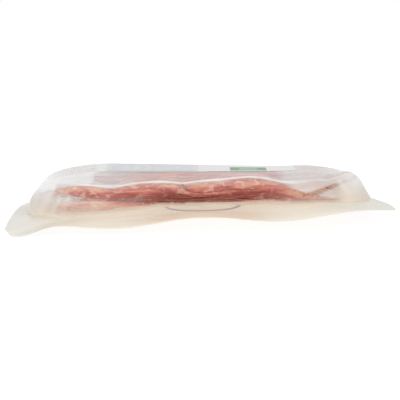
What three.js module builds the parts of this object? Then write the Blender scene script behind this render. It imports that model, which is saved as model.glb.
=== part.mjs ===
// A sealed pack of sliced salami, lying with its formed side up.
// A lower web of film carries the slices and reaches out into a wavy sealed flange. A clear
// upper web is formed into a pocket over the slices, and a printed label is stuck on top of it.
// The pocket is one solid here, with the slices that fill it.
// Millimetres, +Z up. The origin is under the middle of the flange, on the surface that the pack lies on,
// with -Y the side of the wide flange.

import * as THREE from 'three';

// Driving dimensions
const PACK_LENGTH = 200; // along X, edge to edge of the flange
const PACK_DEPTH = 138; // along Y, edge to edge of the flange
const PACK_CORNER = 4; // corner radius of the flange
const FRONT_FLANGE = 26;
const BACK_FLANGE = 13;
const SIDE_FLANGE = { left: 8.5, right: 8.8 };
const POCKET_CORNER = { foot: 20, top: 16 }; // corner radius of the pocket
const WEB_THICKNESS = 0.6; // both films of the flange, welded together
const TOUCH_GAP = 0.3; // left between pieces that touch

const LABEL_LENGTH = 108.5;
const LABEL_DEPTH = 43;
const LABEL_CORNER = { left: 1.5, right: 7 };
const LABEL_THICKNESS = 0.3;
const LABEL_CENTRE = new THREE.Vector2(-1.25, 25.5);

// How far the pocket's walls lean in from foot to top, on each side
const WALL_RUN = { front: 8, back: 10, left: 34, right: 25.7 };
const WALL_SQUARENESS = 2.8; // 2 is an elliptic wall, and more is a squarer shoulder
const RIGHT_SLOPE = 0.32; // least lean of the right wall, as a share of its run, at full height

// Heights above the surface that the pack lies on
const FOOT_HEIGHT = { front: 11.7, back: 6.5 }; // where the pocket's walls meet the flange
const FRONT_FOOT_SAG = { from: 15, to: 75, drop: 4.2 }; // the front foot sinks towards its left end, along -X
const RIDGE_HEIGHT = { front: 25.2, back: 25.3 }; // where the pocket's walls meet its top
const BACK_RIDGE_SLOPE = 0.04; // the back of the top falls to the right
const EDGE_HEIGHT = { front: 6.2, back: 1.75 }; // the outer edge of the flange, at mid length
const EDGE_SLOPE = { front: 0.022, back: -0.015 }; // the front edge rises to the right
const EDGE_WAVE = {
  front: { height: 2, length: 85 },
  back: { height: 0.4, length: 120 },
};
// How far the short sides bow up between their corners. A skew below 1 brings the highest place to the front
const SIDE_RISE = { left: 3, right: 1.7 };
const SIDE_SKEW = { left: 1, right: 0.6 };
// The flange is bent down beside its front left corner, steeply to the corner and slowly to the right
const CORNER_CURL = { x: -94, y: -69, drop: 6.2, left: 3.2, right: 9, across: 9 };

// Where the slices dent the pocket's front ridge or push it up: place along X, height and half width
const RIDGE_RELIEF = [
  { x: -47, height: -2.7, span: 7 },
  { x: -8.5, height: -1.2, span: 4 },
  { x: 25, height: 1.1, span: 8 },
  { x: 47, height: -2.5, span: 7 },
  { x: 69, height: -1.4, span: 4 },
  { x: 79, height: 4.2, span: 5 },
];
const RELIEF_REACH = { from: -34, to: -8 }; // along Y, where the ridge's relief fades out over the top
const BACK_FALL = { from: 57, to: 75, drop: 1 }; // the back ridge falls off at its left end, along -X
const BACK_BULGE = { x: 63, height: 1.2, span: 8 }; // on the back ridge, beside the label

// The belly of the lower web, which the pack lies on
const BELLY_CENTRE = new THREE.Vector2(0, 22);
const BELLY_FLAT = 0.35; // share of the way from its centre to the foot that is flat

// Facets
const AROUND = 120; // steps round the pack
const CORNER_STEPS = 9; // of those, in each rounded corner
const FRONT_STEPS = 28; // and along each long side, with the rest along the short sides
const FLANGE_SHARES = [0.34, 0.68, 1]; // rings of the flange, from the foot outwards
const WALL_ANGLES = [0, 14, 30, 47, 63, 77, 90]; // rings of the wall, from the foot to the top, in degrees
const TOP_SHARES = [0.85, 0.67, 0.36]; // rings of the top, from its rim inwards
const BELLY_SHARES = [0.82, 0.64, 0.5, BELLY_FLAT]; // rings of the belly, from the foot inwards
const LABEL_STEPS = [27, 11]; // along the label and across it

// Small functions

const { lerp, smoothstep, clamp, degToRad } = THREE.MathUtils;

function bump(distance, span) {
  return Math.exp(-0.5 * (distance / span) ** 2);
}

function wave({ height, length }, x) {
  return height * Math.cos((2 * Math.PI * x) / length);
}

// Points anticlockwise round a rectangle with rounded corners. Every outline has the same number of
// steps on each side and corner, so that outlines of any size pair up point by point.
function roundedOutline(low, high, radius) {
  const sideSteps = AROUND / 2 - 2 * CORNER_STEPS - FRONT_STEPS;
  const inLow = low.clone().addScalar(radius);
  const inHigh = high.clone().addScalar(-radius);
  const corners = [
    { centre: new THREE.Vector2(inHigh.x, inLow.y), start: -90, after: sideSteps },
    { centre: inHigh, start: 0, after: FRONT_STEPS },
    { centre: new THREE.Vector2(inLow.x, inHigh.y), start: 90, after: sideSteps },
    { centre: inLow, start: 180, after: FRONT_STEPS },
  ];
  const onCorner = ({ centre, start }, turn) => {
    const angle = degToRad(start + turn);
    const outwards = new THREE.Vector2(Math.cos(angle), Math.sin(angle));
    return centre.clone().addScaledVector(outwards, radius);
  };
  const outline = [];
  corners.forEach((corner, index) => {
    for (let step = 0; step < CORNER_STEPS; step++) {
      outline.push(onCorner(corner, (90 * step) / CORNER_STEPS));
    }
    const from = onCorner(corner, 90);
    const to = onCorner(corners[(index + 1) % corners.length], 0);
    for (let step = 0; step < corner.after; step++) {
      outline.push(from.clone().lerp(to, step / corner.after));
    }
  });
  return outline;
}

// A closed solid from rings of points, each ring as long as an outline. The first ring is the
// middle of the top and the last is the middle of the underside, each with all its points in one place.
function ringSolid(rings) {
  const geometry = new THREE.SphereGeometry(1, AROUND, rings.length - 1);
  const position = geometry.getAttribute('position');
  rings.forEach((ring, row) => {
    for (let step = 0; step <= AROUND; step++) {
      const { x, y, z } = ring[step % AROUND];
      position.setXYZ(row * (AROUND + 1) + step, x, y, z);
    }
  });
  geometry.deleteAttribute('normal');
  geometry.deleteAttribute('uv');
  geometry.computeVertexNormals();
  return geometry;
}

// The pack's outlines and heights

const packHalf = new THREE.Vector2(PACK_LENGTH / 2, PACK_DEPTH / 2);
const footLow = new THREE.Vector2(SIDE_FLANGE.left - packHalf.x, FRONT_FLANGE - packHalf.y);
const footHigh = new THREE.Vector2(packHalf.x - SIDE_FLANGE.right, packHalf.y - BACK_FLANGE);
const edgeOutline = roundedOutline(packHalf.clone().negate(), packHalf, PACK_CORNER);
const footOutline = roundedOutline(footLow, footHigh, POCKET_CORNER.foot);
const ridge = { front: footLow.y + WALL_RUN.front, back: footHigh.y - WALL_RUN.back };

// Middle of the welded flange at its outer edge
function edgeHeight({ x, y }) {
  const front = EDGE_HEIGHT.front + EDGE_SLOPE.front * x + wave(EDGE_WAVE.front, x);
  const back = EDGE_HEIGHT.back + EDGE_SLOPE.back * x + wave(EDGE_WAVE.back, x);
  const curlSpan = x < CORNER_CURL.x ? CORNER_CURL.left : CORNER_CURL.right;
  const nearCurl = bump(x - CORNER_CURL.x, curlSpan) * bump(y - CORNER_CURL.y, CORNER_CURL.across);
  const towardsBack = (y + packHalf.y) / PACK_DEPTH;
  const side = x < 0 ? 'left' : 'right';
  const bow = Math.sin(Math.PI * towardsBack ** SIDE_SKEW[side]);
  const rise = SIDE_RISE[side] * bow * (x / packHalf.x) ** 2;
  return lerp(front, back, towardsBack) + rise - CORNER_CURL.drop * nearCurl;
}

// Middle of the welded flange at the pocket's foot
function footHeight({ x, y }) {
  const sag = FRONT_FOOT_SAG.drop * smoothstep(-x, FRONT_FOOT_SAG.from, FRONT_FOOT_SAG.to);
  const front = FOOT_HEIGHT.front - sag;
  return lerp(front, FOOT_HEIGHT.back, (y - footLow.y) / (footHigh.y - footLow.y));
}

// Top of the pocket
function topHeight({ x, y }) {
  const towardsBack = clamp((y - ridge.front) / (ridge.back - ridge.front), 0, 1);
  const bulge = BACK_BULGE.height * bump(x - BACK_BULGE.x, BACK_BULGE.span);
  const fall = BACK_FALL.drop * smoothstep(-x, BACK_FALL.from, BACK_FALL.to);
  const back = RIDGE_HEIGHT.back - BACK_RIDGE_SLOPE * x + bulge - fall;
  const relief = RIDGE_RELIEF.reduce((sum, { x: at, height, span }) => sum + height * bump(x - at, span), 0);
  const fade = 1 - smoothstep(y, RELIEF_REACH.from, RELIEF_REACH.to);
  return lerp(RIDGE_HEIGHT.front, back, towardsBack) + relief * fade;
}

// Rings, each a list of points round the pack

const ringAt = (centre, z) => footOutline.map(() => new THREE.Vector3(centre.x, centre.y, z));

function flangeRing(share, lift) {
  return footOutline.map((foot, i) => {
    const edge = edgeOutline[i];
    const { x, y } = foot.clone().lerp(edge, share);
    return new THREE.Vector3(x, y, lerp(footHeight(foot), edgeHeight(edge), share) + lift);
  });
}

function bellyRing(share, lift) {
  const sag = smoothstep(share, BELLY_FLAT, 1);
  return footOutline.map((foot) => {
    const { x, y } = BELLY_CENTRE.clone().lerp(foot, share);
    return new THREE.Vector3(x, y, lerp(WEB_THICKNESS / 2, footHeight(foot), sag) + lift);
  });
}

function wallRing(degrees, lift) {
  const lean = 1 - Math.cos(degToRad(degrees)) ** (2 / WALL_SQUARENESS);
  const rise = Math.sin(degToRad(degrees)) ** (2 / WALL_SQUARENESS);
  const low = new THREE.Vector2(WALL_RUN.left, WALL_RUN.front).multiplyScalar(lean).add(footLow);
  const rightLean = Math.max(lean, RIGHT_SLOPE * rise);
  const high = new THREE.Vector2(WALL_RUN.right * rightLean, WALL_RUN.back * lean).negate().add(footHigh);
  const radius = lerp(POCKET_CORNER.foot, POCKET_CORNER.top, lean);
  return roundedOutline(low, high, radius).map((point, i) => {
    const bottom = footHeight(footOutline[i]) + lift;
    return new THREE.Vector3(point.x, point.y, lerp(bottom, topHeight(point), rise));
  });
}

function topRing(rim, share) {
  const centre = new THREE.Vector2().addVectors(footLow, footHigh).multiplyScalar(0.5);
  return rim.map((point) => {
    const { x, y } = centre.clone().lerp(point, share);
    return new THREE.Vector3(x, y, topHeight({ x, y }));
  });
}

// The pack's pieces

function lowerWebGeometry() {
  const half = WEB_THICKNESS / 2;
  const face = (lift) => [
    ringAt(BELLY_CENTRE, half + lift),
    ...BELLY_SHARES.toReversed().map((share) => bellyRing(share, lift)),
    flangeRing(0, lift),
    ...FLANGE_SHARES.map((share) => flangeRing(share, lift)),
  ];
  return ringSolid([...face(half), ...face(-half).toReversed()]);
}

function pocketGeometry() {
  const floor = WEB_THICKNESS / 2 + TOUCH_GAP;
  const wall = WALL_ANGLES.map((degrees) => wallRing(degrees, floor));
  const rim = wall.at(-1);
  return ringSolid([
    topRing(rim, 0),
    ...TOP_SHARES.toReversed().map((share) => topRing(rim, share)),
    ...wall.toReversed(),
    ...BELLY_SHARES.map((share) => bellyRing(share, floor)),
    ringAt(BELLY_CENTRE, WEB_THICKNESS / 2 + floor),
  ]);
}

// Turns a square corner of a flat plate into a round one, by drawing the corner's points in
function roundCorner({ x, y }, halfLength, halfDepth, radius) {
  const overX = Math.max(Math.abs(x) - (halfLength - radius), 0);
  const overY = Math.max(Math.abs(y) - (halfDepth - radius), 0);
  const reach = Math.hypot(overX, overY);
  const drawIn = reach > 0 ? 1 - Math.max(overX, overY) / reach : 0;
  return new THREE.Vector2(x - Math.sign(x) * overX * drawIn, y - Math.sign(y) * overY * drawIn);
}

// A thin plate that follows the top of the pocket
function labelGeometry() {
  const geometry = new THREE.BoxGeometry(LABEL_LENGTH, LABEL_DEPTH, LABEL_THICKNESS, ...LABEL_STEPS, 1);
  const position = geometry.getAttribute('position');
  for (let i = 0; i < position.count; i++) {
    const flat = new THREE.Vector2(position.getX(i), position.getY(i));
    const corner = flat.x < 0 ? LABEL_CORNER.left : LABEL_CORNER.right;
    const place = roundCorner(flat, LABEL_LENGTH / 2, LABEL_DEPTH / 2, corner).add(LABEL_CENTRE);
    const lift = position.getZ(i) + LABEL_THICKNESS / 2 + TOUCH_GAP;
    position.setXYZ(i, place.x, place.y, topHeight(place) + lift);
  }
  geometry.computeVertexNormals();
  return geometry;
}

// Materials

const creamFilm = new THREE.MeshStandardMaterial({ color: 0xe6dfd1, roughness: 0.35, metalness: 0 });
const filmOverMeat = new THREE.MeshStandardMaterial({ color: 0xc48a7e, roughness: 0.2, metalness: 0 });
const labelPaper = new THREE.MeshStandardMaterial({ color: 0xe4e2df, roughness: 0.5, metalness: 0 });

function piece(name, geometry, material) {
  const mesh = new THREE.Mesh(geometry, material);
  mesh.name = name;
  return mesh;
}

const pack = new THREE.Group();
pack.name = 'salami_pack';
pack.add(
  piece('lower_web', lowerWebGeometry(), creamFilm),
  piece('pocket', pocketGeometry(), filmOverMeat),
  piece('label', labelGeometry(), labelPaper),
);

export default pack;
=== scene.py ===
# A sealed pack of sliced salami, built up from its lower web to its label, in metres.

import math

import bpy
from mathutils import Matrix, Vector, noise
from mathutils.bvhtree import BVHTree


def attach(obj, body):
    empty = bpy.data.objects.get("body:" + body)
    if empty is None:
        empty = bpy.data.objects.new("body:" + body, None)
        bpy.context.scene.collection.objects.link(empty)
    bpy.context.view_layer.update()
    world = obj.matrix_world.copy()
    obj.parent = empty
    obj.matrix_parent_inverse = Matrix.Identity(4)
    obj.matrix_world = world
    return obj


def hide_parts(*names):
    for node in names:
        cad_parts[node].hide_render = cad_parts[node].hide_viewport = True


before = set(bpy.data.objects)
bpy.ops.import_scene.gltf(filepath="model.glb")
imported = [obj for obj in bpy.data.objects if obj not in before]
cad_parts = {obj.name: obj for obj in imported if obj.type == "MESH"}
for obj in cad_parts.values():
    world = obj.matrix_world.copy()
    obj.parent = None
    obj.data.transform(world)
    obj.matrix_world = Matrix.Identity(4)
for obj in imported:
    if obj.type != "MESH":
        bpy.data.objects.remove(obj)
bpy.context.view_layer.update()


# Lower web
# A cream sealing film that carries the slices. It sags under them, and round the pocket it is welded to
# the film above it in a flange that waves freely.

MM = 0.001
MERGE_REACH = 0.01 * MM

WEB_PALE = (0.55, 0.54, 0.505, 1)
WEB_CREAM = (0.60, 0.555, 0.475, 1)
WEB_WARM = (0.58, 0.485, 0.385, 1)
WEB_PAINTED_LIGHT = (0.76, 0.67, 0.55, 1)
WEB_EDGE_AND_SHADE = (0.56, 0.42, 0.28, 1)
# Where the web pales towards its ends, is warmer and darker in its middle and front, which is painted shade
# of the flange's curve, and is bright by the pocket, which is painted light against the pocket's shade, in
# millimetres
WEB_ENDS = 62, 96
WEB_SHADED_MIDDLE = 5, 52
WEB_SHADED_FRONT = -66, -44
PAINTED_LIGHT_BY_POCKET = -60, -44
# Waves in a metre, along each axis, of its streaks, clouds and ripples, and height of the ripples
WEB_STREAKS = 25, 160, 160
WEB_CLOUDS = 28
WEB_RIPPLES = 30, 220, 220
WEB_RIPPLE_HEIGHT = 0.25 * MM
# Share of the tan on an upright face, which is the cut edge's own colour and painted shade on it, held to 1,
# and how fast it fades as a face lies flatter
EDGE_SHARE = 1.25
EDGE_FADE = 1.5


def take_up(piece):
    """Makes one piece the only selected and the active one."""
    if bpy.context.object and bpy.context.object.mode != "OBJECT":
        bpy.ops.object.mode_set(mode="OBJECT")
    bpy.ops.object.select_all(action="DESELECT")
    piece.select_set(True)
    bpy.context.view_layer.objects.active = piece
    return piece


def copy_of_solid(node, name):
    """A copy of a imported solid, with its loose triangles merged into quads."""
    piece = bpy.data.objects.new(name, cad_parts[node].data.copy())
    bpy.context.collection.objects.link(piece)
    piece.data.materials.clear()
    take_up(piece)
    bpy.ops.object.mode_set(mode="EDIT")
    bpy.ops.mesh.select_all(action="SELECT")
    bpy.ops.mesh.remove_doubles(threshold=MERGE_REACH)
    bpy.ops.mesh.tris_convert_to_quads(
        face_threshold=math.pi, shape_threshold=math.pi, topology_influence=2
    )
    bpy.ops.object.mode_set(mode="OBJECT")
    return piece


def finish_with(piece, kind, **settings):
    """Adds one modifier to a piece and applies it."""
    take_up(piece)
    bpy.ops.object.modifier_add(type=kind)
    modifier = piece.modifiers[-1]
    for name, value in settings.items():
        setattr(modifier, name, value)
    bpy.ops.object.modifier_apply(modifier=modifier.name)


def smooth(piece, levels):
    finish_with(piece, "SUBSURF", levels=levels, render_levels=levels)
    bpy.ops.object.shade_smooth()


def share_of(value):
    """A value held between 0 and 1."""
    return min(max(value, 0), 1)


class Wire:
    """A socket of a shader node. Arithmetic on wires adds Math nodes."""

    def __init__(self, finish, socket):
        self.finish = finish
        self.socket = socket

    def math(self, operation, *others):
        return self.finish.math(operation, self, *others)

    def __add__(self, other):
        return self.math("ADD", other)

    def __rsub__(self, other):
        return self.finish.math("SUBTRACT", other, self)

    def __mul__(self, other):
        return self.math("MULTIPLY", other)

    def __pow__(self, other):
        return self.math("POWER", other)

    def __gt__(self, other):
        return self.math("GREATER_THAN", other)

    def __lt__(self, other):
        return self.math("LESS_THAN", other)

    __radd__ = __add__
    __rmul__ = __mul__


class Finish:
    """A material, made node by node round one Principled shader."""

    def __init__(self, name):
        self.material = bpy.data.materials.new(name)
        self.material.use_nodes = True
        self.tree = self.material.node_tree
        self.surface = self.tree.nodes["Principled BSDF"]

    def feed(self, socket, value):
        if isinstance(value, Wire):
            self.tree.links.new(value.socket, socket)
        else:
            socket.default_value = value

    def node(self, kind, settings=None, sockets=None, output=0):
        made = self.tree.nodes.new(kind)
        for name, value in (settings or {}).items():
            if name == "stops":
                for stop, (place, colour) in zip(self.stops(made, len(value)), value):
                    stop.position = place
                    stop.color = colour
            else:
                setattr(made, name, value)
        for name, value in (sockets or {}).items():
            self.feed(made.inputs[name], value)
        return Wire(self, made.outputs[output])

    def stops(self, made, count):
        while len(made.color_ramp.elements) < count:
            made.color_ramp.elements.new(1)
        return made.color_ramp.elements

    def math(self, operation, *values):
        return self.node("ShaderNodeMath", {"operation": operation}, dict(enumerate(values)))

    def attribute(self, name, output="Fac"):
        """A value that the piece's mesh holds for each of its points."""
        return self.node("ShaderNodeAttribute", {"attribute_name": name}, output=output)

    def place(self, scale=(1, 1, 1)):
        """Places on the piece, in its own coordinates, drawn out by a scale."""
        point = self.node("ShaderNodeTexCoord", output="Object")
        return self.node("ShaderNodeMapping", sockets={"Vector": point, "Scale": scale})

    def along(self, axis):
        """Distance along one axis, in millimetres."""
        point = self.node("ShaderNodeTexCoord", output="Object")
        return self.node("ShaderNodeSeparateXYZ", sockets={"Vector": point}, output=axis) * (1 / MM)

    def noise(self, place, scale, detail=2, roughness=0.5, distortion=0):
        """Soft noise from 0 to 1."""
        sockets = {
            "Vector": place,
            "Scale": scale,
            "Detail": detail,
            "Roughness": roughness,
            "Distortion": distortion,
        }
        return self.node("ShaderNodeTexNoise", sockets=sockets)

    def ease(self, value, low, high, start=0, end=1):
        """Start below the low value, end above the high one, and smooth between."""
        sockets = {"Value": value, "From Min": low, "From Max": high, "To Min": start, "To Max": end}
        return self.node("ShaderNodeMapRange", {"interpolation_type": "SMOOTHSTEP"}, sockets)

    def mix(self, share, first, second):
        """A mix of two colours."""
        sockets = {0: share, 6: first, 7: second}
        return self.node("ShaderNodeMix", {"data_type": "RGBA"}, sockets, output=2)

    def relief(self, height, depth):
        """A bump of a given depth in metres, for the Normal socket."""
        return self.node("ShaderNodeBump", sockets={"Height": height, "Strength": 1, "Distance": depth})

    def set(self, **sockets):
        """Values and wires for the Principled shader, with _ for a space in a socket's name."""
        for name, value in sockets.items():
            self.feed(self.surface.inputs[name.replace("_", " ")], value)
        return self.material


def web_finish():
    finish = Finish("cream sealing film")
    streaks = finish.noise(finish.place(WEB_STREAKS), 1, 3)
    cloud = finish.noise(finish.place(), WEB_CLOUDS, 2)
    ripple = finish.noise(finish.place(WEB_RIPPLES), 1, 3)
    y = finish.along("Y")
    beside = finish.along("X").math("ABSOLUTE")
    # Warmer and darker in the middle and at the front: painted shade of the flange's curve. The streaks and
    # clouds are the film's own.
    middle = finish.ease(beside, *WEB_SHADED_MIDDLE, 1, 0) * finish.ease(y, *WEB_SHADED_FRONT, 1, 0.5)
    warmth = finish.ease(streaks * 0.4 + cloud * 0.25 + middle * 0.4, 0.3, 0.75)
    cream = finish.mix(warmth, WEB_CREAM, WEB_WARM)
    # Brighter by the pocket: painted light against the shade that the pocket casts there.
    cream = finish.mix(finish.ease(y, *PAINTED_LIGHT_BY_POCKET, 0, 0.6), cream, WEB_PAINTED_LIGHT)
    sheet = finish.mix(finish.ease(beside, *WEB_ENDS), cream, WEB_PALE)
    # The tan on upright faces is the cut edge's own colour and painted shade on it.
    return finish.set(
        Base_Color=finish.mix(finish.attribute("edge"), sheet, WEB_EDGE_AND_SHADE),
        Roughness=finish.ease(cloud, 0.3, 0.7, 0.28, 0.42),
        Normal=finish.relief(ripple, WEB_RIPPLE_HEIGHT),
        Subsurface_Weight=0.25,
        Subsurface_Radius=(0.004, 0.003, 0.002),
        Subsurface_Scale=0.6,
    )


web = copy_of_solid("lower_web", "web_sheet")
smooth(web, 2)
edge = web.data.attributes.new("edge", "FLOAT", "POINT")
for vertex in web.data.vertices:
    edge.data[vertex.index].value = share_of(EDGE_SHARE - EDGE_FADE * abs(vertex.normal.z))
web.data.materials.append(web_finish())
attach(web, "root")
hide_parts("lower_web")


# Peel mark
# A thin half-moon line on the wide flange, taken to be a mark of the sealing tool. It is pressed into the
# two welded films and stands up from them a little.

PEEL_CENTRE = Vector((1.5, -42)) * MM
PEEL_HALF_LENGTH = 20 * MM
PEEL_REACH = 14.5 * MM
# Width of the line at its ends and in its middle, and way to the left of its inner edge, which makes it wider
# at the right
PEEL_WIDTH = Vector((1.5, 2.3)) * MM
PEEL_SHIFT = 0.45 * MM
PEEL_HEIGHT = 0.2 * MM
PEEL_GAP = 0.02 * MM
PEEL_POINTS = 96
PEEL_MAUVE = (0.40, 0.31, 0.32, 1)
PEEL_SHADE = (0.32, 0.248, 0.256, 1)


def tree_of(mesh):
    return BVHTree.FromPolygons([v.co for v in mesh.vertices], [p.vertices for p in mesh.polygons])


web_tree = tree_of(web.data)
pocket_tree = tree_of(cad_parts["pocket"].data)


def height_on(tree, x, y):
    """Height of a solid's top at a place, or None beside the solid."""
    hit = tree.ray_cast(Vector((x, y, 1)), Vector((0, 0, -1)))[0]
    return hit.z if hit else None


def peel_finish():
    finish = Finish("weld line")
    speckle = finish.noise(finish.place(), 900, 3)
    return finish.set(
        Base_Color=finish.mix(finish.ease(speckle, 0.3, 0.7, 0.86, 1), PEEL_SHADE, PEEL_MAUVE),
        Roughness=0.4,
        Normal=finish.relief(speckle, 0.04 * MM),
    )


bpy.ops.object.select_all(action="DESELECT")
bpy.ops.mesh.primitive_circle_add(vertices=PEEL_POINTS, radius=1, location=(0, 0, 0))
peel = bpy.context.object
peel.name = "peel_mark"
bpy.ops.object.mode_set(mode="EDIT")
bpy.ops.mesh.select_all(action="SELECT")
bpy.ops.transform.resize(value=(PEEL_HALF_LENGTH, PEEL_REACH, 1))
bpy.ops.mesh.extrude_edges_move()
inner = (1 - PEEL_WIDTH.x / PEEL_HALF_LENGTH, 1 - PEEL_WIDTH.y / PEEL_REACH, 1)
bpy.ops.transform.resize(value=inner)
bpy.ops.transform.translate(value=(-PEEL_SHIFT, 0, 0))
bpy.ops.mesh.select_all(action="SELECT")
bpy.ops.mesh.bisect(plane_co=(0, 0, 0), plane_no=(0, 1, 0), clear_outer=True)
bpy.ops.mesh.select_all(action="SELECT")
bpy.ops.transform.translate(value=(PEEL_CENTRE.x, PEEL_CENTRE.y, 0))
bpy.ops.object.mode_set(mode="OBJECT")
for vertex in peel.data.vertices:
    vertex.co.z = height_on(web_tree, vertex.co.x, vertex.co.y) + PEEL_GAP
take_up(peel)
bpy.ops.object.mode_set(mode="EDIT")
bpy.ops.mesh.select_all(action="SELECT")
bpy.ops.mesh.normals_make_consistent(inside=False)
bpy.ops.object.mode_set(mode="OBJECT")
if peel.data.polygons[0].normal.z < 0:
    peel.data.flip_normals()
finish_with(peel, "SOLIDIFY", thickness=PEEL_HEIGHT, offset=1)
smooth(peel, 1)
peel.data.materials.append(peel_finish())
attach(peel, "root")


# Upper web
# Clear stiff film, heated and drawn into a pocket over the slices, then welded to the lower web all round.
# It is creased at its ends. Its haze follows the slices, so it is finished after them.

FILM_THICKNESS = 0.05 * MM
# Height over the web below which the film is its foot, in millimetres, and depth of the foot in the web
FOOT_REACH = 0.5
FOOT_DEPTH = 0.25 * MM
# Faces that look down more than this are the underside of the solid, which the film doesn't have
UNDERSIDE = -0.3
# How a place beside a solid is moved towards the middle to find the solid
SEARCH_STEPS = 24
SEARCH_STEP = 0.02


def ramp(value, low, high):
    share = share_of((value - low) / (high - low))
    return share * share * (3 - 2 * share)


def hump(value, middle, width):
    return math.exp(-(((value - middle) / width) ** 2))


def distance_to(place, start, end):
    """Distance from a place to a line between two points."""
    run = end - start
    along = share_of((place - start).dot(run) / run.length_squared)
    return (place - start - run * along).length


def nearest_height(tree, x, y):
    """Height of a solid's top at a place, or a little further in where the place is beside it."""
    for step in range(SEARCH_STEPS):
        inwards = 1 - SEARCH_STEP * step
        found = height_on(tree, x * inwards, y * inwards)
        if found is not None:
            return found
    return None


def over_web(place):
    """Height of a place over the lower web, in millimetres."""
    return (place.z - nearest_height(web_tree, place.x, place.y)) / MM


def sink_foot(vertex):
    vertex.co.z = nearest_height(web_tree, vertex.co.x, vertex.co.y) - FOOT_DEPTH


film = copy_of_solid("pocket", "film_pocket")
bpy.ops.object.mode_set(mode="EDIT")
bpy.ops.mesh.select_all(action="DESELECT")
bpy.ops.object.mode_set(mode="OBJECT")
for face in film.data.polygons:
    face.select = face.normal.z <= UNDERSIDE
bpy.ops.object.mode_set(mode="EDIT")
bpy.ops.mesh.delete(type="FACE")
bpy.ops.object.mode_set(mode="OBJECT")
for vertex in film.data.vertices:
    if over_web(vertex.co) < FOOT_REACH:
        sink_foot(vertex)
smooth(film, 2)
bpy.ops.object.mode_set(mode="EDIT")
bpy.ops.mesh.select_mode(type="VERT")
bpy.ops.mesh.select_all(action="DESELECT")
bpy.ops.mesh.select_non_manifold()
bpy.ops.object.mode_set(mode="OBJECT")
for vertex in film.data.vertices:
    if vertex.select:
        sink_foot(vertex)

# Creases of the front wall at its ends: from and to along X and Z, half width, and height over the film, in
# millimetres
CREASES = [
    (Vector((-75, 23.6)), Vector((-84, 8.5)), 1.8, 0.3),
    (Vector((-72.6, 19.5)), Vector((-78, 8.5)), 1.5, 0.25),
    (Vector((69.5, 23.2)), Vector((79, 26.8)), 1.2, 0.7),
    (Vector((73.4, 22)), Vector((80.5, 13.2)), 1.3, 0.35),
]
# Where they begin: turn of the film to the front, way in front of the middle, and height over the web
CREASE_TURN = 0.05, 0.4
CREASE_FRONT = 0, 12
CREASE_FOOT = 1, 6


def crease_shares(place, normal):
    """How much of each crease is at a place on the front of the film, from 0 to 1."""
    spot = Vector((place.x, place.z)) / MM
    over_foot = ramp(over_web(place), *CREASE_FOOT)
    seen = ramp(-normal.y, *CREASE_TURN) * ramp(-place.y / MM, *CREASE_FRONT) * over_foot
    return [seen * hump(distance_to(spot, start, end), 0, width) for start, end, width, height in CREASES]


creased = []
for vertex in film.data.vertices:
    shares = crease_shares(vertex.co, vertex.normal)
    lift = sum(share * height for share, (start, end, width, height) in zip(shares, CREASES))
    creased.append(vertex.co + vertex.normal * lift * MM)
for vertex, place in zip(film.data.vertices, creased):
    vertex.co = place
film.data.update()

film_tree = tree_of(film.data)


# Slices
# Thin rounded slices of salami, cut across the sausage: red lean with pale fat all through it, and a darker
# dried rim. Two stacks lie side by side close under the film, where their slices bend down its walls, and
# more slices lie on the lower web and between. Their tones also hold painted light where the stacks bend
# over, and painted shade down their flaps, on the slices below and on the slices between the groups.

SLICE_THICKNESS = 1.12 * MM
SLICE_PITCH = 1.24 * MM
SLICE_SIDES = 96
SLICE_SQUARENESS = 6
# Widths of a slice's rings from its rim inwards, as shares of its width
SLICE_RINGS = [0.006] + 9 * [0.012] + 3 * [0.03] + 4 * [0.045]
# How far from the innermost ring a point still counts as on it, for a disc one metre wide
RING_SLACK = 0.0001
# Share of the way out where the dried rim starts, and rounding of the cut edges
RIM_START = 0.965
CUT_ROUNDING = 0.28 * MM
CUT_ANGLE = math.radians(50)
# Unevenness round a slice: waves across it, how far they reach as a share of its size, how far the noise is
# shifted from one seed to the next, and the least that a corner is drawn out from
SWELL_WAVES = 2.6
SWELL = 0.02
SWELL_SHIFT = 7.3, 1.7
NICK_WAVES = 13
NICK = 0.008
NICK_SHIFT = 3.1, 5.9
CORNER_LEAST = 0.5

LEAN_PALE = (0.56, 0.305, 0.195, 1)
LEAN_RED = (0.44, 0.125, 0.083, 1)
LEAN_DEEP = (0.27, 0.036, 0.028, 1)
FAT_PINK = (0.68, 0.45, 0.32, 1)
FAT_PALE = (0.74, 0.58, 0.48, 1)
# Colour of the dried rim, also used as painted shade on the slices between the groups
RIM_AND_SHADE_BROWN = (0.19, 0.06, 0.036, 1)
# Waves in a metre of the bands of lean, the fat's lobes and flecks, and the grain
LEAN_BANDS = 60, 85, 330
FAT_FLOW = 0.7, 0.8, 1
FAT_LOBES = 300
FAT_FLECKS = 640
MEAT_GRAIN = 1900
MEAT_RELIEF = 0.2 * MM


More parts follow.
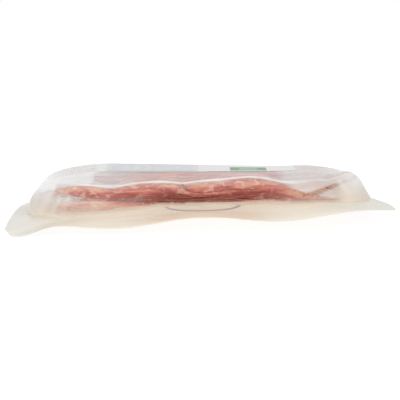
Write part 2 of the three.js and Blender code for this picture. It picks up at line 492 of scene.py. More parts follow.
def salami_finish():
    finish = Finish("marbled salami")
    flow = finish.place(FAT_FLOW)
    bands = finish.noise(finish.place(LEAN_BANDS), 1, 3, 0.65, 0.5)
    lobes = finish.noise(flow, FAT_LOBES, 3, 0.55, 1.2)
    flecks = finish.noise(flow, FAT_FLECKS, 2, 0.6, 0.8)
    grain = finish.noise(finish.place(), MEAT_GRAIN, 3)
    tone = finish.attribute("tone")
    fat = finish.ease(lobes, 0.53, 0.63) + finish.ease(flecks, 0.62, 0.72) * 0.6
    fat = fat.math("MINIMUM", 1) * (1 - tone * 0.55)
    depth = tone + finish.ease(bands, 0.3, 0.7, -0.42, 0.42)
    stops = [(0, LEAN_PALE), (0.5, LEAN_RED), (1, LEAN_DEEP)]
    lean = finish.node("ShaderNodeValToRGB", {"stops": stops}, {"Fac": depth})
    white = finish.mix(finish.ease(grain, 0.35, 0.65), FAT_PINK, FAT_PALE)
    marbled = finish.mix(fat * 0.55, lean, white)
    # The dark rim colour is the dried rim and, on the slices between the groups, painted shade.
    return finish.set(
        Base_Color=finish.mix(finish.attribute("rim") * 0.18, marbled, RIM_AND_SHADE_BROWN),
        Roughness=finish.ease(grain, 0.3, 0.7, 0.32, 0.5),
        Normal=finish.relief(fat * 0.6 + grain * 0.5, MEAT_RELIEF),
        Specular_IOR_Level=0.12,
        Subsurface_Weight=0.3,
        Subsurface_Radius=(0.003, 0.0012, 0.0008),
        Subsurface_Scale=0.5,
    )


salami = salami_finish()


def disc_of_rings(name):
    """A flat disc one metre wide: rings of quads round a grid of quads."""
    bpy.ops.object.select_all(action="DESELECT")
    bpy.ops.mesh.primitive_circle_add(vertices=SLICE_SIDES, radius=0.5, fill_type="NGON", location=(0, 0, 0))
    piece = bpy.context.object
    piece.name = name
    bpy.ops.object.mode_set(mode="EDIT")
    bpy.ops.mesh.select_all(action="SELECT")
    for width in SLICE_RINGS:
        bpy.ops.mesh.inset(thickness=width)
    bpy.ops.mesh.delete(type="ONLY_FACE")
    bpy.ops.mesh.select_mode(type="EDGE")
    bpy.ops.object.mode_set(mode="OBJECT")
    innermost = min(vertex.co.length for vertex in piece.data.vertices) + RING_SLACK
    for edge in piece.data.edges:
        edge.select = all(piece.data.vertices[end].co.length < innermost for end in edge.vertices)
    bpy.ops.object.mode_set(mode="EDIT")
    bpy.ops.mesh.fill_grid(span=SLICE_SIDES // 4)
    bpy.ops.object.mode_set(mode="OBJECT")
    return piece


def cut_slice(name, ends, sides, tone_at, seed):
    """A flat slice between its ends along X and its sides along Y, uneven round its edge."""
    piece = disc_of_rings(name)
    rims = piece.data.attributes.new("rim", "FLOAT", "POINT")
    tones = piece.data.attributes.new("tone", "FLOAT", "POINT")
    for vertex in piece.data.vertices:
        flat = vertex.co.copy()
        reach = flat.length * 2
        rims.data[vertex.index].value = max(0, (reach - RIM_START) / (1 - RIM_START))
        way = flat.normalized()
        corner = (abs(way.x) ** SLICE_SQUARENESS + abs(way.y) ** SLICE_SQUARENESS) ** (1 / SLICE_SQUARENESS)
        swell = noise.noise(flat * SWELL_WAVES + Vector((seed * SWELL_SHIFT[0], seed * SWELL_SHIFT[1], 0)))
        nick = noise.noise(flat * NICK_WAVES + Vector((seed * NICK_SHIFT[0], 0, seed * NICK_SHIFT[1])))
        uneven = (1 + (SWELL * swell + NICK * nick) * reach) / max(corner, CORNER_LEAST)
        x = sum(ends) / 2 + flat.x * (ends[1] - ends[0]) * uneven
        y = sum(sides) / 2 + flat.y * (sides[1] - sides[0]) * uneven
        vertex.co = x * MM, y * MM, 0
        tones.data[vertex.index].value = tone_at(x, y)
    return piece


slices = []


def settle(piece, lie):
    """Lays each point of a flat slice where a function of its place says, thickens it and finishes it."""
    for vertex in piece.data.vertices:
        vertex.co = lie(vertex.co.x, vertex.co.y)
    piece.data.update()
    finish_with(piece, "SOLIDIFY", thickness=SLICE_THICKNESS, offset=-1)
    finish_with(piece, "BEVEL", width=CUT_ROUNDING, segments=2, limit_method="ANGLE", angle_limit=CUT_ANGLE)
    bpy.ops.object.shade_smooth()
    piece.data.materials.append(salami)
    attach(piece, "root")
    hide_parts("pocket")
    slices.append(piece)


# The bend of the pocket's front and back walls, in millimetres
FRONT_FOOT = -43
FRONT_RUN = 8
BACK_FOOT = 56
BACK_RUN = 10
WALL_RISE = 13
WALL_SQUARENESS = 2.8
WALL_STEPS = 60


def wall_path(run):
    """Points down the bend of a wall from the pocket's top: length so far, way out and way down."""
    power = 2 / WALL_SQUARENESS
    path = [(0, 0, 0)]
    for step in range(1, WALL_STEPS + 1):
        angle = math.pi / 2 * (1 - step / WALL_STEPS)
        out = run * math.cos(angle) ** power
        down = WALL_RISE * (1 - math.sin(angle) ** power)
        length, last_out, last_down = path[-1]
        path.append((length + math.hypot(out - last_out, down - last_down), out, down))
    return path


def along_path(path, length):
    """Way out and way down at a length along a path, or at its end."""
    for before, after in zip(path, path[1:]):
        if after[0] >= length:
            share = (length - before[0]) / (after[0] - before[0])
            return [a + (b - a) * share for a, b in zip(before[1:], after[1:])]
    return path[-1][1:]


def bent_length(path, drop):
    """Length along a path to where it is a given way down."""
    for length, out, down in path:
        if down >= drop:
            return length
    return path[-1][0]


class Bend:
    """How a slice's front and back bend down beside the walls: way from the walls' feet, runs and drop."""

    def __init__(self, gap, front_run, back_run, drop):
        self.front = FRONT_FOOT + gap + front_run
        self.back = BACK_FOOT - gap - back_run
        self.front_path = wall_path(front_run)
        self.back_path = wall_path(back_run)
        front_length = bent_length(self.front_path, drop)
        self.sides = self.front - front_length, self.back + bent_length(self.back_path, drop)

    def lay(self, y):
        """Place across the pack, where to read the height, and way down, of a point of the flat slice."""
        if y < self.front:
            out, down = along_path(self.front_path, self.front - y)
            return self.front - out, self.front, down
        if y > self.back:
            out, down = along_path(self.back_path, y - self.back)
            return self.back + out, self.back, down
        return y, y, 0


# Least way from the slices to the film above and beside them, how much more that is at the back, how far a
# slice is lowered before it is drawn in, and least way to the web below, in millimetres
FILM_GAP = 0.4
SIDE_GAP = 0.7
BACK_GAP = 0.6
BACK_GAP_RUN = 30, 45
CORNER_DROP = 0.6
WEB_GAP = 0.1
# How a place is drawn in towards the middle
DRAW_STEPS = 30
DRAW_STEP = 0.01


def under_film(x, y):
    """Height that is clear of the film above a place and of its walls beside the place."""
    gap = SIDE_GAP + BACK_GAP * ramp(y / MM, *BACK_GAP_RUN)
    outwards = Vector((x, y)).normalized() * gap * MM
    beside = nearest_height(film_tree, x + outwards.x, y + outwards.y)
    return min(beside, nearest_height(film_tree, x, y)) - FILM_GAP * MM


def drawn_in(x, y, z):
    """A place inside the film: drawn in towards the middle where the film is well below it, and lowered."""
    for step in range(DRAW_STEPS):
        inwards = 1 - DRAW_STEP * step
        highest = under_film(x * inwards, y * inwards)
        if highest > z - CORNER_DROP * MM:
            break
    return x * inwards, y * inwards, min(z, highest)


# Slices on the lower web: ends along X, height over the web, share of the rise at the web's ends, way from
# the walls' feet to the rim, drop of the rim, and tone
LOWER_SLICES = [
    ((-19, 81), 0.7, 0, 0.25, 0.5, 0.0),
    ((-85, -6), 1.4, 1, 1.2, 5.6, 0.24),
    ((-78, -20), 1.9, 1.21, 0.45, 5, 0.3),
    ((18, 80), 1.4, 1, 0.45, 2.8, 0.35),
]
LOWER_SEED = 1
LOWER_RUN = 2.5
LEFT_RISE = 3.8
LEFT_RISE_RUN = 25, 60
RIGHT_RISE = 1.4
RIGHT_RISE_PLACE = 54, 11

for index, (ends, lift, share, gap, drop, tone) in enumerate(LOWER_SLICES):
    bend = Bend(gap, LOWER_RUN, LOWER_RUN, drop)

    def on_the_web(x, y):
        way, place, down = bend.lay(y / MM)
        rise = LEFT_RISE * ramp(-x / MM, *LEFT_RISE_RUN) + RIGHT_RISE * hump(x / MM, *RIGHT_RISE_PLACE)
        height = lift + share * rise - down
        lowest = nearest_height(web_tree, x, way * MM) + WEB_GAP * MM
        lying = nearest_height(web_tree, x, place * MM) + height * MM
        lying = max(lowest, lying) + SLICE_THICKNESS
        return drawn_in(x, way * MM, lying) if y > 0 else (x, way * MM, lying)

    name = f"slice_lower_{index + 1}"
    lower = cut_slice(name, ends, bend.sides, lambda x, y: tone, LOWER_SEED + index)
    settle(lower, on_the_web)

# Slices between the two groups, set back from the front wall: ends and sides, share of the way from the web
# to the film, tone, and how much of the dark rim colour they take all over; the deep tone and brown of the
# first ones are painted shade for the gap between the groups
MIDDLE_SLICES = [
    ((-38, 34), (-40.6, 47), 0.13, 0.85, 3.5),
    ((-34, 37), (-40, 46), 0.22, 0.85, 3.5),
    ((-40, 32), (-40.4, 47), 0.31, 0.85, 3.5),
    ((-36, 36), (-39.8, 46), 0.4, 0.85, 3.5),
    ((-26, 18), (-40.6, 46), 0.5, 0.85, 2),
    ((-72, -34), (-38.5, 46), 0.56, 0.85, 0),
    ((56, 77), (-37.5, 46), 0.34, 0.15, 0),
    ((60, 77), (-37, 46), 0.5, 0.05, 0),
]
MIDDLE_SEED = 40

for index, (ends, sides, share, tone, gap_shade) in enumerate(MIDDLE_SLICES):

    def between(x, y):
        web_height = nearest_height(web_tree, x, y)
        return x, y, web_height + (nearest_height(pocket_tree, x, y) - web_height) * share

    name = f"slice_middle_{index + 1}"
    middle = cut_slice(name, ends, sides, lambda x, y: tone, MIDDLE_SEED + index)
    # The rim colour spread over the whole slice is painted shade for the gap.
    for rim in middle.data.attributes["rim"].data:
        rim.value = max(rim.value, gap_shade)
    settle(middle, between)

# The two stacks under the film: the ends of each slice along X, in millimetres, from the top down
LEFT_STACK = [(-86, 0), (-80, -3), (-72, -5), (-64, -8), (-56, -10)]
RIGHT_STACK = [(-11, 66), (-13, 64), (-8, 61), (-4, 56), (0, 51)]
LEFT_SEED = 20
RIGHT_SEED = 50
# Run over which the left stack goes under each slice of the right one
OVERLAP_RUN = 8
# Depth of the stacks under the film before they are lowered, how much more it is at the front, way from a
# wall's foot to the rims and how much more it is for each slice below, and drop of the rims
TOP_GAP = 0.08
FRONT_GAP = 0.32
FRONT_GAP_RUN = 8, 26
RIM_GAP = 0.5
RIM_STEP = 0.8
RIM_DROP = 6.3
# Sag of the stacks' fronts at their ends and where they meet, and how much less the left end bends down
SAG_RUN = 0, 30
LEFT_SAG = 0.7
LEFT_SAG_RUN = 55, 76
MEETING_SAG = 1.8
MEETING_PLACE = -4, 8
RIGHT_SAG = 6.4
RIGHT_SAG_RUN = 41, 60
END_LIFT = 0.4
END_LIFT_RUN = 56, 78
# Tone of the slices' tops, deeper for each slice below as painted shade, how much paler they are where they
# bend over and at their ends, painted light at the bend and the right end, and how much deeper down the flaps
# towards their rims, painted shade
TOP_TONES = [0.75, 0.85, 0.95, 1, 1]
BEND_PAINTED_LIGHT = 0.52
BEND_TONE_RUN = -4, 2
RIGHT_PAINTED_LIGHT = 0.3
RIGHT_TONE_RUN = 40, 60
LEFT_TONE = 0.09
LEFT_TONE_RUN = 46, 62
FLAP_PAINTED_SHADE = 0.55
RIM_TONE_START = 3


def sag(side, x, y):
    """How far a stack's slices hang down at a place, in millimetres."""
    towards_front = ramp(-y, *SAG_RUN)
    meeting = towards_front * MEETING_SAG * hump(x, *MEETING_PLACE)
    if side == "right":
        return meeting + towards_front * RIGHT_SAG * ramp(x, *RIGHT_SAG_RUN)
    under = sum(ramp(x, start, start + OVERLAP_RUN) for start, end in RIGHT_STACK)
    return meeting + towards_front * LEFT_SAG * ramp(-x, *LEFT_SAG_RUN) + under * SLICE_PITCH / MM


for side, stack, seed in (("left", LEFT_STACK, LEFT_SEED), ("right", RIGHT_STACK, RIGHT_SEED)):
    for layer, ends in enumerate(stack):
        gap = RIM_GAP + RIM_STEP * layer
        bend = Bend(gap, FRONT_RUN - gap, BACK_RUN - gap, RIM_DROP)

        def tone_at(x, y):
            bent = bend.front - y
            # Paler at the bend and at the right end is painted light, deeper down the flap is painted shade.
            painted_light = BEND_PAINTED_LIGHT * ramp(bent, *BEND_TONE_RUN)
            painted_light += RIGHT_PAINTED_LIGHT * ramp(x, *RIGHT_TONE_RUN) + LEFT_TONE * ramp(-x, *LEFT_TONE_RUN)
            painted_shade = FLAP_PAINTED_SHADE * ramp(bent, RIM_TONE_START, bend.front - bend.sides[0])
            return TOP_TONES[layer] - painted_light + painted_shade

        def in_the_stack(x, y):
            way, place, down = bend.lay(y / MM)
            down *= 1 - END_LIFT * ramp(-x / MM, *END_LIFT_RUN)
            top_gap = TOP_GAP + FRONT_GAP * ramp(-y / MM, *FRONT_GAP_RUN)
            depth = top_gap + layer * SLICE_PITCH / MM + sag(side, x / MM, y / MM) + down
            lying = nearest_height(film_tree, x, place * MM) - depth * MM
            lowest = nearest_height(web_tree, x, way * MM) + WEB_GAP * MM + SLICE_THICKNESS
            return drawn_in(x, way * MM, max(lowest, lying))

        name = f"slice_{side}_{layer + 1}"
        upper = cut_slice(name, ends, bend.sides, tone_at, seed + layer)
        settle(upper, in_the_stack)

# The loose slice at the right end, which rises: its ends and sides, lowest place along X and Z, slope to the
# right, rise to the left, and drop of its rim, in millimetres, and its tones with dark specks at its end
STRIP_SEED = 90
STRIP_ENDS = 50, 76
STRIP_SIDES = -40.9, 8
STRIP_LOWEST = Vector((58, 17.6))
STRIP_SLOPE = 0.3
STRIP_LEFT_RISE = 4
STRIP_LEFT_RUN = 41, 59
STRIP_DROP = 1
STRIP_DROP_RUN = 37, 41
STRIP_TONE = 0.12
SPECK_TONE = 1.5
SPECK_RUN = 63, 68
SPECK_WAVES = 0.55, 0.3
SPECK_SEED = 4


def soft_noise(*place):
    return noise.noise(Vector(place))


def strip_height(x):
    right = STRIP_SLOPE * max(x - STRIP_LOWEST.x, 0)
    return STRIP_LOWEST.y + right + STRIP_LEFT_RISE * (1 - ramp(x, *STRIP_LEFT_RUN))


def strip_tone(x, y):
    specks = max(soft_noise(x * SPECK_WAVES[0], y * SPECK_WAVES[1], SPECK_SEED), 0)
    return STRIP_TONE + SPECK_TONE * ramp(x, *SPECK_RUN) * specks


def on_the_strip(x, y):
    return drawn_in(x, y, (strip_height(x / MM) - STRIP_DROP * ramp(-y / MM, *STRIP_DROP_RUN)) * MM)


strip = cut_slice("slice_right_end", STRIP_ENDS, STRIP_SIDES, strip_tone, STRIP_SEED)
settle(strip, on_the_strip)


# Haze of the upper web
# The clear film looks milky where it was bent or drawn thin, and where it stands off from the slices. The
# haze is white on top, rosy at the right, grey at the left end and cream low on the walls. Along the ridge
# and down the last crease at the right, the white haze is also a painted highlight.

FILM_WHITE = Vector((0.70, 0.69, 0.685))
FILM_CREAM = Vector((0.67, 0.595, 0.515))
FILM_ROSE = Vector((0.59, 0.545, 0.53))
FILM_CREASE_HIGHLIGHT = Vector((0.64, 0.59, 0.53))
FILM_FOOT = Vector((0.67, 0.595, 0.50))
FILM_GREY = Vector((0.60, 0.565, 0.54))
FILM_WARM = Vector((0.58, 0.42, 0.31))

# Gap between the film and the slices where haze starts and is full, longest gap, and rounds of blurring
GAP_HAZE = 0.6, 3
GAP_LIMIT = 20
GAP_BLUR = 3

slice_places = []
slice_faces = []
for piece in slices:
    first = len(slice_places)
    slice_places += [vertex.co for vertex in piece.data.vertices]
    slice_faces += [[first + corner for corner in face.vertices] for face in piece.data.polygons]
slices_tree = BVHTree.FromPolygons(slice_places, slice_faces)


def stand_off(vertex):
    """Gap between the film and the slices behind it, in millimetres."""
    gap = slices_tree.ray_cast(vertex.co, -vertex.normal, GAP_LIMIT * MM)[3]
    return GAP_LIMIT if gap is None else gap / MM


# Where the film counts as its top, by the upward share of its normal, and where its ends start
TOP_TURN = 0.80, 0.96
TOWARDS_LEFT = 25, 62
TOWARDS_RIGHT = 20, 60
# Streaks of haze down the walls, which lean to the right
STREAK_DEPTH = 0.4
STREAK_LEAN = 0.56
STREAK_WAVES = 0.25, 0.02
# The left end of the upper slices, over which the film is clearer: top edge and its fall, front, start and
# end along X, and share of the haze that goes there
LOBE_TOP = 24.4
LOBE_FALL = 0.5
LOBE_FALL_RUN = -72, -62
LOBE_EDGE = 0, 1
LOBE_FRONT = 25, 33
LOBE_START = 58, 64
LOBE_END = 74.5, 77
LOBE_CLEARNESS = 0.8


class Spot:
    """A place on the film, in millimetres, and what its haze depends on."""

    def __init__(self, vertex, gap):
        self.place = vertex.co / MM
        self.x, self.y, self.z = self.place
        self.up = vertex.normal.z
        self.gap = gap
        self.height = over_web(vertex.co)
        self.creases = crease_shares(vertex.co, vertex.normal)
        self.top = ramp(self.up, *TOP_TURN)
        self.ends = max(ramp(-self.x, *TOWARDS_LEFT), ramp(self.x, *TOWARDS_RIGHT))
        leaning = (self.x - STREAK_LEAN * self.z) * STREAK_WAVES[0]
        self.streak = 1 + STREAK_DEPTH * soft_noise(leaning, self.y * STREAK_WAVES[1], 0)
        lobe_top = LOBE_TOP - LOBE_FALL * ramp(self.x, *LOBE_FALL_RUN)
        lobe = ramp(lobe_top - self.z, *LOBE_EDGE) * ramp(-self.y, *LOBE_FRONT)
        lobe *= ramp(-self.x, *LOBE_START) * (1 - ramp(-self.x, *LOBE_END))
        self.lobe_haze = 1 - LOBE_CLEARNESS * lobe


# How milky one face of the film is, from 0 to 1. The ridge is where the top bends into the walls, and its
# white line is film whitened by the bend and a painted highlight: its upward share of the normal, which is
# more by the right hump, its widths, and the rims that it is kept to
MILK_RIDGE_AND_HIGHLIGHT = 0.62
RIDGE_TURN = 0.85
RIDGE_FLATTER = 0.08
RIDGE_FLATTER_PLACE = 28, 16
RIDGE_WIDTH_ABOVE = 0.12
RIDGE_WIDTH_BELOW = 0.09
RIDGE_FLAT = 0.97, 1
# Unevenness along the ridge: share, waves for each millimetre and seed
RIDGE_WAVES = [(0.3, 0.07, 5), (0.25, 0.3, 9)]
FRONT_RIM = 28, 34
BACK_RIM = 38, 44
LEFT_RIM = 56, 64
RIGHT_RIM = 62, 70
MILK_SHOULDER = 0.1
SHOULDER_TURN = 0.6, 0.25


def ridge_haze_and_highlight(spot):
    uneven = 1 + sum(share * soft_noise(spot.x * waves, seed, 0) for share, waves, seed in RIDGE_WAVES)
    along_rims = max(
        ramp(-spot.y, *FRONT_RIM),
        ramp(spot.y, *BACK_RIM),
        ramp(-spot.x, *LEFT_RIM),
        ramp(spot.x, *RIGHT_RIM),
    )
    turn = RIDGE_TURN + RIDGE_FLATTER * hump(spot.x, *RIDGE_FLATTER_PLACE)
    width = RIDGE_WIDTH_ABOVE if spot.up > turn else RIDGE_WIDTH_BELOW
    ridge = hump(spot.up, turn, width) * (1 - ramp(spot.up, *RIDGE_FLAT))
    # The ridge's white line is film whitened by the bend and a painted highlight.
    return [
        MILK_RIDGE_AND_HIGHLIGHT * spot.lobe_haze * uneven * along_rims * ridge,
        MILK_SHOULDER * hump(spot.up, *SHOULDER_TURN),
    ]


# The weld and the walls over it, by height over the web, which is more at the ends
MILK_WALL = 0.008
MILK_WELD = 0.7
WELD_FROM = 0.1, 0.2
WELD_TO = 0.8, 1
MILK_LOW = 0.1
LOW_HEIGHT = 0.8, 3
MILK_LOW_LEFT = 0.08
LOW_LEFT = 18, 40
LOW_LEFT_HEIGHT = 5.5, 8
MILK_LOW_ENDS = 0.12
LOW_ENDS_HEIGHT = 2, 7


def wall_haze(spot):
    weld_from = WELD_FROM[0] + WELD_FROM[1] * spot.ends
    weld_to = WELD_TO[0] + WELD_TO[1] * spot.ends
    return [
        MILK_WALL,
        MILK_WELD * (1 - ramp(spot.height, weld_from, weld_to)),
        MILK_LOW * (1 - ramp(spot.height, *LOW_HEIGHT)),
        MILK_LOW_LEFT * ramp(-spot.x, *LOW_LEFT) * (1 - ramp(spot.height, *LOW_LEFT_HEIGHT)),
        MILK_LOW_ENDS * spot.ends * (1 - ramp(spot.height, *LOW_ENDS_HEIGHT)),
    ]


# The ends of the pocket, and where the film stands off from the slices at the ends and the back
MILK_LEFT_END = 0.5
LEFT_END = 68, 86
MILK_RIGHT_END = 0.4
RIGHT_END = 66, 84
MILK_GAP = 0.55
GAP_LEFT = 44, 58
GAP_RIGHT = 68, 78
GAP_BACK = 36, 46


def end_haze(spot):
    gaps_at = max(ramp(-spot.x, *GAP_LEFT), ramp(spot.x, *GAP_RIGHT), ramp(spot.y, *GAP_BACK))
    return [
        MILK_LEFT_END * spot.lobe_haze * spot.streak * ramp(-spot.x, *LEFT_END),
        MILK_RIGHT_END * ramp(spot.x, *RIGHT_END),
        MILK_GAP * spot.streak * spot.gap * gaps_at * (1 - spot.top),
    ]


# Above and below the loose slice at the right end, by height over it, down to the slices on the web, whose
# top falls to the right
MILK_OVER_STRIP = 0.45
OVER_STRIP = 42, 52
OVER_STRIP_FROM = -1.4
OVER_STRIP_STEP = 0.9
OVER_STRIP_STEP_RUN = 54, 60
OVER_STRIP_EDGE = 0.9
MILK_UNDER_STRIP = 0.45
UNDER_STRIP = 58, 66
UNDER_STRIP_EDGE = -2.3, -1.6
LOWER_TOP = Vector((52, 15.9))
LOWER_TOP_SLOPE = 0.133
LOWER_TOP_EDGE = -0.3, 0.8


def strip_haze(spot):
    over_strip = spot.z - strip_height(spot.x)
    over_from = OVER_STRIP_FROM + OVER_STRIP_STEP * ramp(spot.x, *OVER_STRIP_STEP_RUN)
    over = ramp(spot.x, *OVER_STRIP) * ramp(over_strip, over_from, over_from + OVER_STRIP_EDGE)
    over_lower = spot.z - LOWER_TOP.y + LOWER_TOP_SLOPE * (spot.x - LOWER_TOP.x)
    under = ramp(spot.x, *UNDER_STRIP) * (1 - ramp(over_strip, *UNDER_STRIP_EDGE))
    return [
        MILK_OVER_STRIP * over * (1 - spot.top),
        MILK_UNDER_STRIP * under * ramp(over_lower, *LOWER_TOP_EDGE),
    ]


# The top: a clear window before the label, with clouds and faint streaks, given by their waves for each
# millimetre along X and Y and their seed, whose left edge leans, haze beside it, and the film under the label
MILK_TOP = 0.02
MILK_WINDOW = 0.35
WINDOW_HAZE = 22, 52
WINDOW_CLOUD = 0.6
WINDOW_CLOUDS = 0.06, 0.3, 3
MILK_STREAKS = 0.36
WINDOW_STREAKS = 0.05, 0.35, 7
WINDOW_BACK = -4, 0
MILK_TOP_LEFT = 0.55
WINDOW_LEFT = Vector((-55.5, 4))
WINDOW_LEFT_LEAN = 0.035
WINDOW_LEFT_EDGE = 0.6
MILK_TOP_RIGHT = 0.5
WINDOW_RIGHT = 38, 48
MILK_LABEL = 0.9
GLUE_LEFT = -56, -55
GLUE_RIGHT = 51, 53
GLUE_FRONT = 3.4, 4.4
GLUE_BACK = 46, 47


def waves_at(spot, along, across, seed):
    return soft_noise(spot.x * along, spot.y * across, seed)


def top_haze(spot):
    window = ramp(-spot.y, *WINDOW_BACK)
    cloud = 1 + WINDOW_CLOUD * waves_at(spot, *WINDOW_CLOUDS)
    faint_streaks = max(waves_at(spot, *WINDOW_STREAKS), 0)
    left = WINDOW_LEFT.x + WINDOW_LEFT_LEAN * (spot.y - WINDOW_LEFT.y)
    beside_left = 1 - ramp(spot.x, left - WINDOW_LEFT_EDGE, left + WINDOW_LEFT_EDGE)
    glue_along = ramp(spot.x, *GLUE_LEFT) * (1 - ramp(spot.x, *GLUE_RIGHT))
    glue_across = ramp(spot.y, *GLUE_FRONT) * (1 - ramp(spot.y, *GLUE_BACK))
    parts = [
        MILK_TOP,
        MILK_WINDOW * ramp(-spot.x, *WINDOW_HAZE) * cloud * window,
        MILK_STREAKS * faint_streaks * window,
        MILK_TOP_LEFT * spot.lobe_haze * beside_left,
        MILK_TOP_RIGHT * ramp(spot.x, *WINDOW_RIGHT),
        MILK_LABEL * glue_along * glue_across,
    ]
    return [part * spot.top for part in parts]


# The creases of the front wall, the last of which is whitest as a fold and a painted highlight, and the most
# that one kind of haze hides
MILK_CREASE = 0.1
MILK_CREASE_HIGHLIGHT = 0.5
MILK_MOST = 0.95


def milkiness(spot):
    """How milky the film is at a place, where each kind of haze hides its share of what the others leave."""
    parts = ridge_haze_and_highlight(spot) + wall_haze(spot) + end_haze(spot) + strip_haze(spot) + top_haze(spot)
    parts += [MILK_CREASE_HIGHLIGHT * spot.creases[-1], MILK_CREASE * max(spot.creases)]
    clear = 1
    for part in parts:
        clear *= 1 - min(part, MILK_MOST)
    return 1 - clear


# Where the haze changes colour, in millimetres or by the upward share of the film's normal
ROSE_FROM = 36, 60
ROSE_TO = 72, 84
CREAM_HEIGHT = 1, 13
CREAM_FRONT = 0, 20
GREY_FROM = 58, 72
GREY_TURN = 0.35, 0.75
FOOT_HEIGHT = 0.3, 2.5
# A fold across the corner at the right, which looks warm: points along it and half its width
FOLD = [Vector((66.5, -35, 23.9)), Vector((73.3, -36.3, 25.6)), Vector((79, -31.7, 26.3))]
FOLD_WIDTH = 1.1


def tint_of(spot):
    """Colour of the film's haze at a place."""
    rosy = ramp(spot.x, *ROSE_FROM) * (1 - ramp(spot.x, *ROSE_TO))
    grey = ramp(-spot.x, *GREY_FROM) * (1 - ramp(spot.up, *GREY_TURN))
    cream = (1 - ramp(spot.height, *CREAM_HEIGHT)) * ramp(-spot.y, *CREAM_FRONT)
    beside_fold = min(distance_to(spot.place, start, end) for start, end in zip(FOLD, FOLD[1:]))
    haze = FILM_WHITE.lerp(FILM_ROSE, rosy).lerp(FILM_GREY, grey).lerp(FILM_CREAM, cream)
    haze = haze.lerp(FILM_FOOT, 1 - ramp(spot.height, *FOOT_HEIGHT))
    haze = haze.lerp(FILM_WARM, hump(beside_fold, 0, FOLD_WIDTH))
    # The last crease is tinted bright: a fold in the film and a painted highlight on it.
    return haze.lerp(FILM_CREASE_HIGHLIGHT, spot.creases[-1])


# Waves in a metre of the clouds in the haze and of the film's ripples, height of the ripples, and angle from
# which an edge of the film is sharp, as at its foot
HAZE_CLOUDS = 60, 60, 90
FILM_RIPPLES = 30, 45, 30
FILM_RIPPLE_HEIGHT = 0.1 * MM
FILM_EDGE_ANGLE = math.radians(60)
# How white the film looks at a glancing angle, how near to the edge that starts, and the most that it hides
GLANCE_WHITE = 0.3
GLANCE_POWER = 6
VEIL_MOST = 0.97


def film_finish():
    finish = Finish("clear drawn film")
    cloud = finish.noise(finish.place(HAZE_CLOUDS), 1, 3)
    ripple = finish.noise(finish.place(FILM_RIPPLES), 1, 1)
    haze = finish.attribute("milk") * finish.ease(cloud, 0.25, 0.75, 0.85, 1.1)
    facing = finish.node("ShaderNodeLayerWeight", sockets={"Blend": 0.5}, output="Facing")
    veil = haze + (1 - haze) * facing ** GLANCE_POWER * GLANCE_WHITE
    return finish.set(
        Base_Color=finish.attribute("tint", "Color"),
        Alpha=veil.math("MINIMUM", VEIL_MOST),
        Roughness=0.16,
        Normal=finish.relief(ripple, FILM_RIPPLE_HEIGHT),
    )


milk = film.data.attributes.new("milk", "FLOAT", "POINT")
tint = film.data.attributes.new("tint", "FLOAT_COLOR", "POINT")
gaps = [ramp(stand_off(vertex), *GAP_HAZE) for vertex in film.data.vertices]
for blurring in range(GAP_BLUR):
    sums = [(gap, 1) for gap in gaps]
    for edge in film.data.edges:
        one, other = edge.vertices
        sums[one] = sums[one][0] + gaps[other], sums[one][1] + 1
        sums[other] = sums[other][0] + gaps[one], sums[other][1] + 1
    gaps = [total / count for total, count in sums]
for vertex, gap in zip(film.data.vertices, gaps):
    spot = Spot(vertex, gap)
    milk.data[vertex.index].value = milkiness(spot)
    tint.data[vertex.index].color = (*tint_of(spot), 1)

finish_with(film, "SOLIDIFY", thickness=FILM_THICKNESS, offset=-1)
bpy.ops.object.shade_smooth_by_angle(angle=FILM_EDGE_ANGLE)
# Light that the haze scatters still reaches the slices, so the film casts no shadow
film.visible_shadow = False
film.data.materials.append(film_finish())
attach(film, "root")
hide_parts("pocket")


# Label
# A white plastic sticker printed with plain fields of colour and rows of bars, stuck on the back half of
# the pocket's top. It is bent to the film, and thinner than its solid.

LABEL_THICKNESS = 0.08 * MM
LABEL_GLUE = 0.02 * MM
# Height over the pocket that parts the upper face of the label's solid from its lower face
LABEL_MIDDLE = 0.45 * MM
LABEL_EDGE_ANGLE = math.radians(40)
LABEL_WHITE = (0.61, 0.605, 0.595, 1)
PRINT_BLUE = (0.40, 0.425, 0.475, 1)
PRINT_GREEN = (0.06, 0.24, 0.09, 1)
# Printed fields, from and to along X and Y, in millimetres
PANEL = -51.5, -0.5, 5.5, 46
ROWS = -49, -3, 13, 45
FINE_BARS = -50, -2, 5, 10.5
BADGE = 17, 37, 8, 31
BADGE_BARS = [(22, 32, 15, 17), (22, 32, 22, 24)]
# How strong the ink is on the panel, in the rows and in the fine bars
PANEL_INK = 0.4
ROW_INK = 0.7
FINE_INK = 0.55
# Rows and fine bars in a millimetre, where the rows start, and the waves in a metre that break rows into bars
ROW_PITCH = 0.125
ROW_START = 0.1
FINE_PITCH = 0.55
ROW_BREAKS = 330, 60, 0
LABEL_GRAIN = 700


def label_finish():
    finish = Finish("printed label")
    x = finish.along("X")
    y = finish.along("Y")

    def field(x0, x1, y0, y1):
        return (x > x0) * (x < x1) * (y > y0) * (y < y1)

    rows = (y * ROW_PITCH + ROW_START).math("FRACT") > 0.5
    unbroken = finish.noise(finish.place(ROW_BREAKS), 1, 0) > 0.44
    bars = field(*ROWS) * rows * unbroken
    badge = field(*BADGE)
    for bar in BADGE_BARS:
        badge = badge * (1 - field(*bar))
    fine_bars = field(*FINE_BARS) * ((x * FINE_PITCH).math("FRACT") > 0.5)
    panel = finish.mix(field(*PANEL) * PANEL_INK, LABEL_WHITE, PRINT_BLUE)
    printed = finish.mix(bars * ROW_INK, panel, PRINT_BLUE)
    grain = finish.noise(finish.place(), LABEL_GRAIN, 2)
    return finish.set(
        Base_Color=finish.mix(badge + fine_bars * FINE_INK, printed, PRINT_GREEN),
        Roughness=0.38,
        Normal=finish.relief(grain, 0.03 * MM),
        Specular_IOR_Level=0.2,
    )


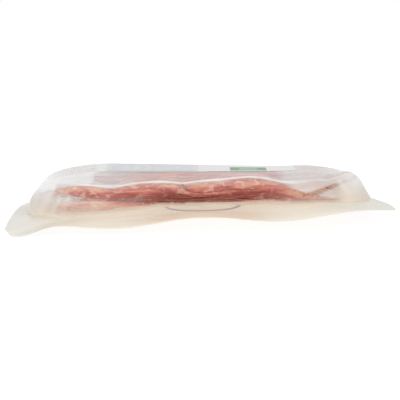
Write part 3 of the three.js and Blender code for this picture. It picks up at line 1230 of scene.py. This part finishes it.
label = copy_of_solid("label", "label_sticker")
for vertex in label.data.vertices:
    over_pocket = vertex.co.z - height_on(pocket_tree, vertex.co.x, vertex.co.y)
    lift = LABEL_GLUE + (LABEL_THICKNESS if over_pocket > LABEL_MIDDLE else 0)
    vertex.co.z = height_on(film_tree, vertex.co.x, vertex.co.y) + lift
label.data.update()
label.visible_shadow = False
label.data.materials.append(label_finish())
bpy.ops.object.shade_smooth_by_angle(angle=LABEL_EDGE_ANGLE)
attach(label, "root")
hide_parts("label")


# Studio
# A plain pale floor that glows like a light table, soft light from above and in front, and a camera low in
# front of the wide flange.

FLOOR_SIZE = 12
FLOOR_WHITE = (0.3, 0.3, 0.3, 1)
FLOOR_GLOW = 0.8

bpy.ops.object.select_all(action="DESELECT")
bpy.ops.mesh.primitive_plane_add(size=FLOOR_SIZE, location=(0, 0, 0))
floor = bpy.context.object
floor.name = "floor"
floor_finish = Finish("studio floor")
floor_finish.set(
    Base_Color=FLOOR_WHITE,
    Roughness=0.9,
    Specular_IOR_Level=0.0,
    Emission_Color=(1, 1, 1, 1),
    Emission_Strength=FLOOR_GLOW,
)
floor.data.materials.append(floor_finish.material)

world = bpy.data.worlds.new("studio")
world.use_nodes = True
world.node_tree.nodes["Background"].inputs["Color"].default_value = (1, 1, 1, 1)
world.node_tree.nodes["Background"].inputs["Strength"].default_value = 1.0
bpy.context.scene.world = world

SOFTBOX_SIZE = 0.9


def softbox(name, place, aim, power):
    light = bpy.data.lights.new(name, "AREA")
    light.shape = "SQUARE"
    light.size = SOFTBOX_SIZE
    light.energy = power
    lamp = bpy.data.objects.new(name, light)
    bpy.context.collection.objects.link(lamp)
    lamp.location = place
    lamp.rotation_euler = (Vector(aim) - Vector(place)).to_track_quat("-Z", "Y").to_euler()


softbox("top_softbox", (0.1, 0.25, 0.9), (0, 0, 0), 1.2)
softbox("front_softbox", (-0.15, -1.3, 0.32), (0, 0, 0.01), 9)

CAMERA_DISTANCE = 1.02
CAMERA_ELEVATION = math.radians(6)
CAMERA_ROLL = math.radians(1.3)
CAMERA_AIM = Vector((0, 0, 0.01))
SENSOR_WIDTH = 36
IMAGE_PIXELS = 400
FOCAL_PIXELS = 1876

camera_data = bpy.data.cameras.new("camera")
camera_data.sensor_width = SENSOR_WIDTH
camera_data.lens = SENSOR_WIDTH * FOCAL_PIXELS / IMAGE_PIXELS
camera = bpy.data.objects.new("camera", camera_data)
bpy.context.collection.objects.link(camera)
backwards = Vector((0, -math.cos(CAMERA_ELEVATION), math.sin(CAMERA_ELEVATION)))
tilt = Matrix.Rotation(math.pi / 2 - CAMERA_ELEVATION, 4, "X")
roll = Matrix.Rotation(-CAMERA_ROLL, 4, "Z")
camera.matrix_world = Matrix.Translation(CAMERA_AIM + backwards * CAMERA_DISTANCE) @ tilt @ roll
bpy.context.scene.camera = camera
bpy.context.scene.view_settings.view_transform = "Standard"
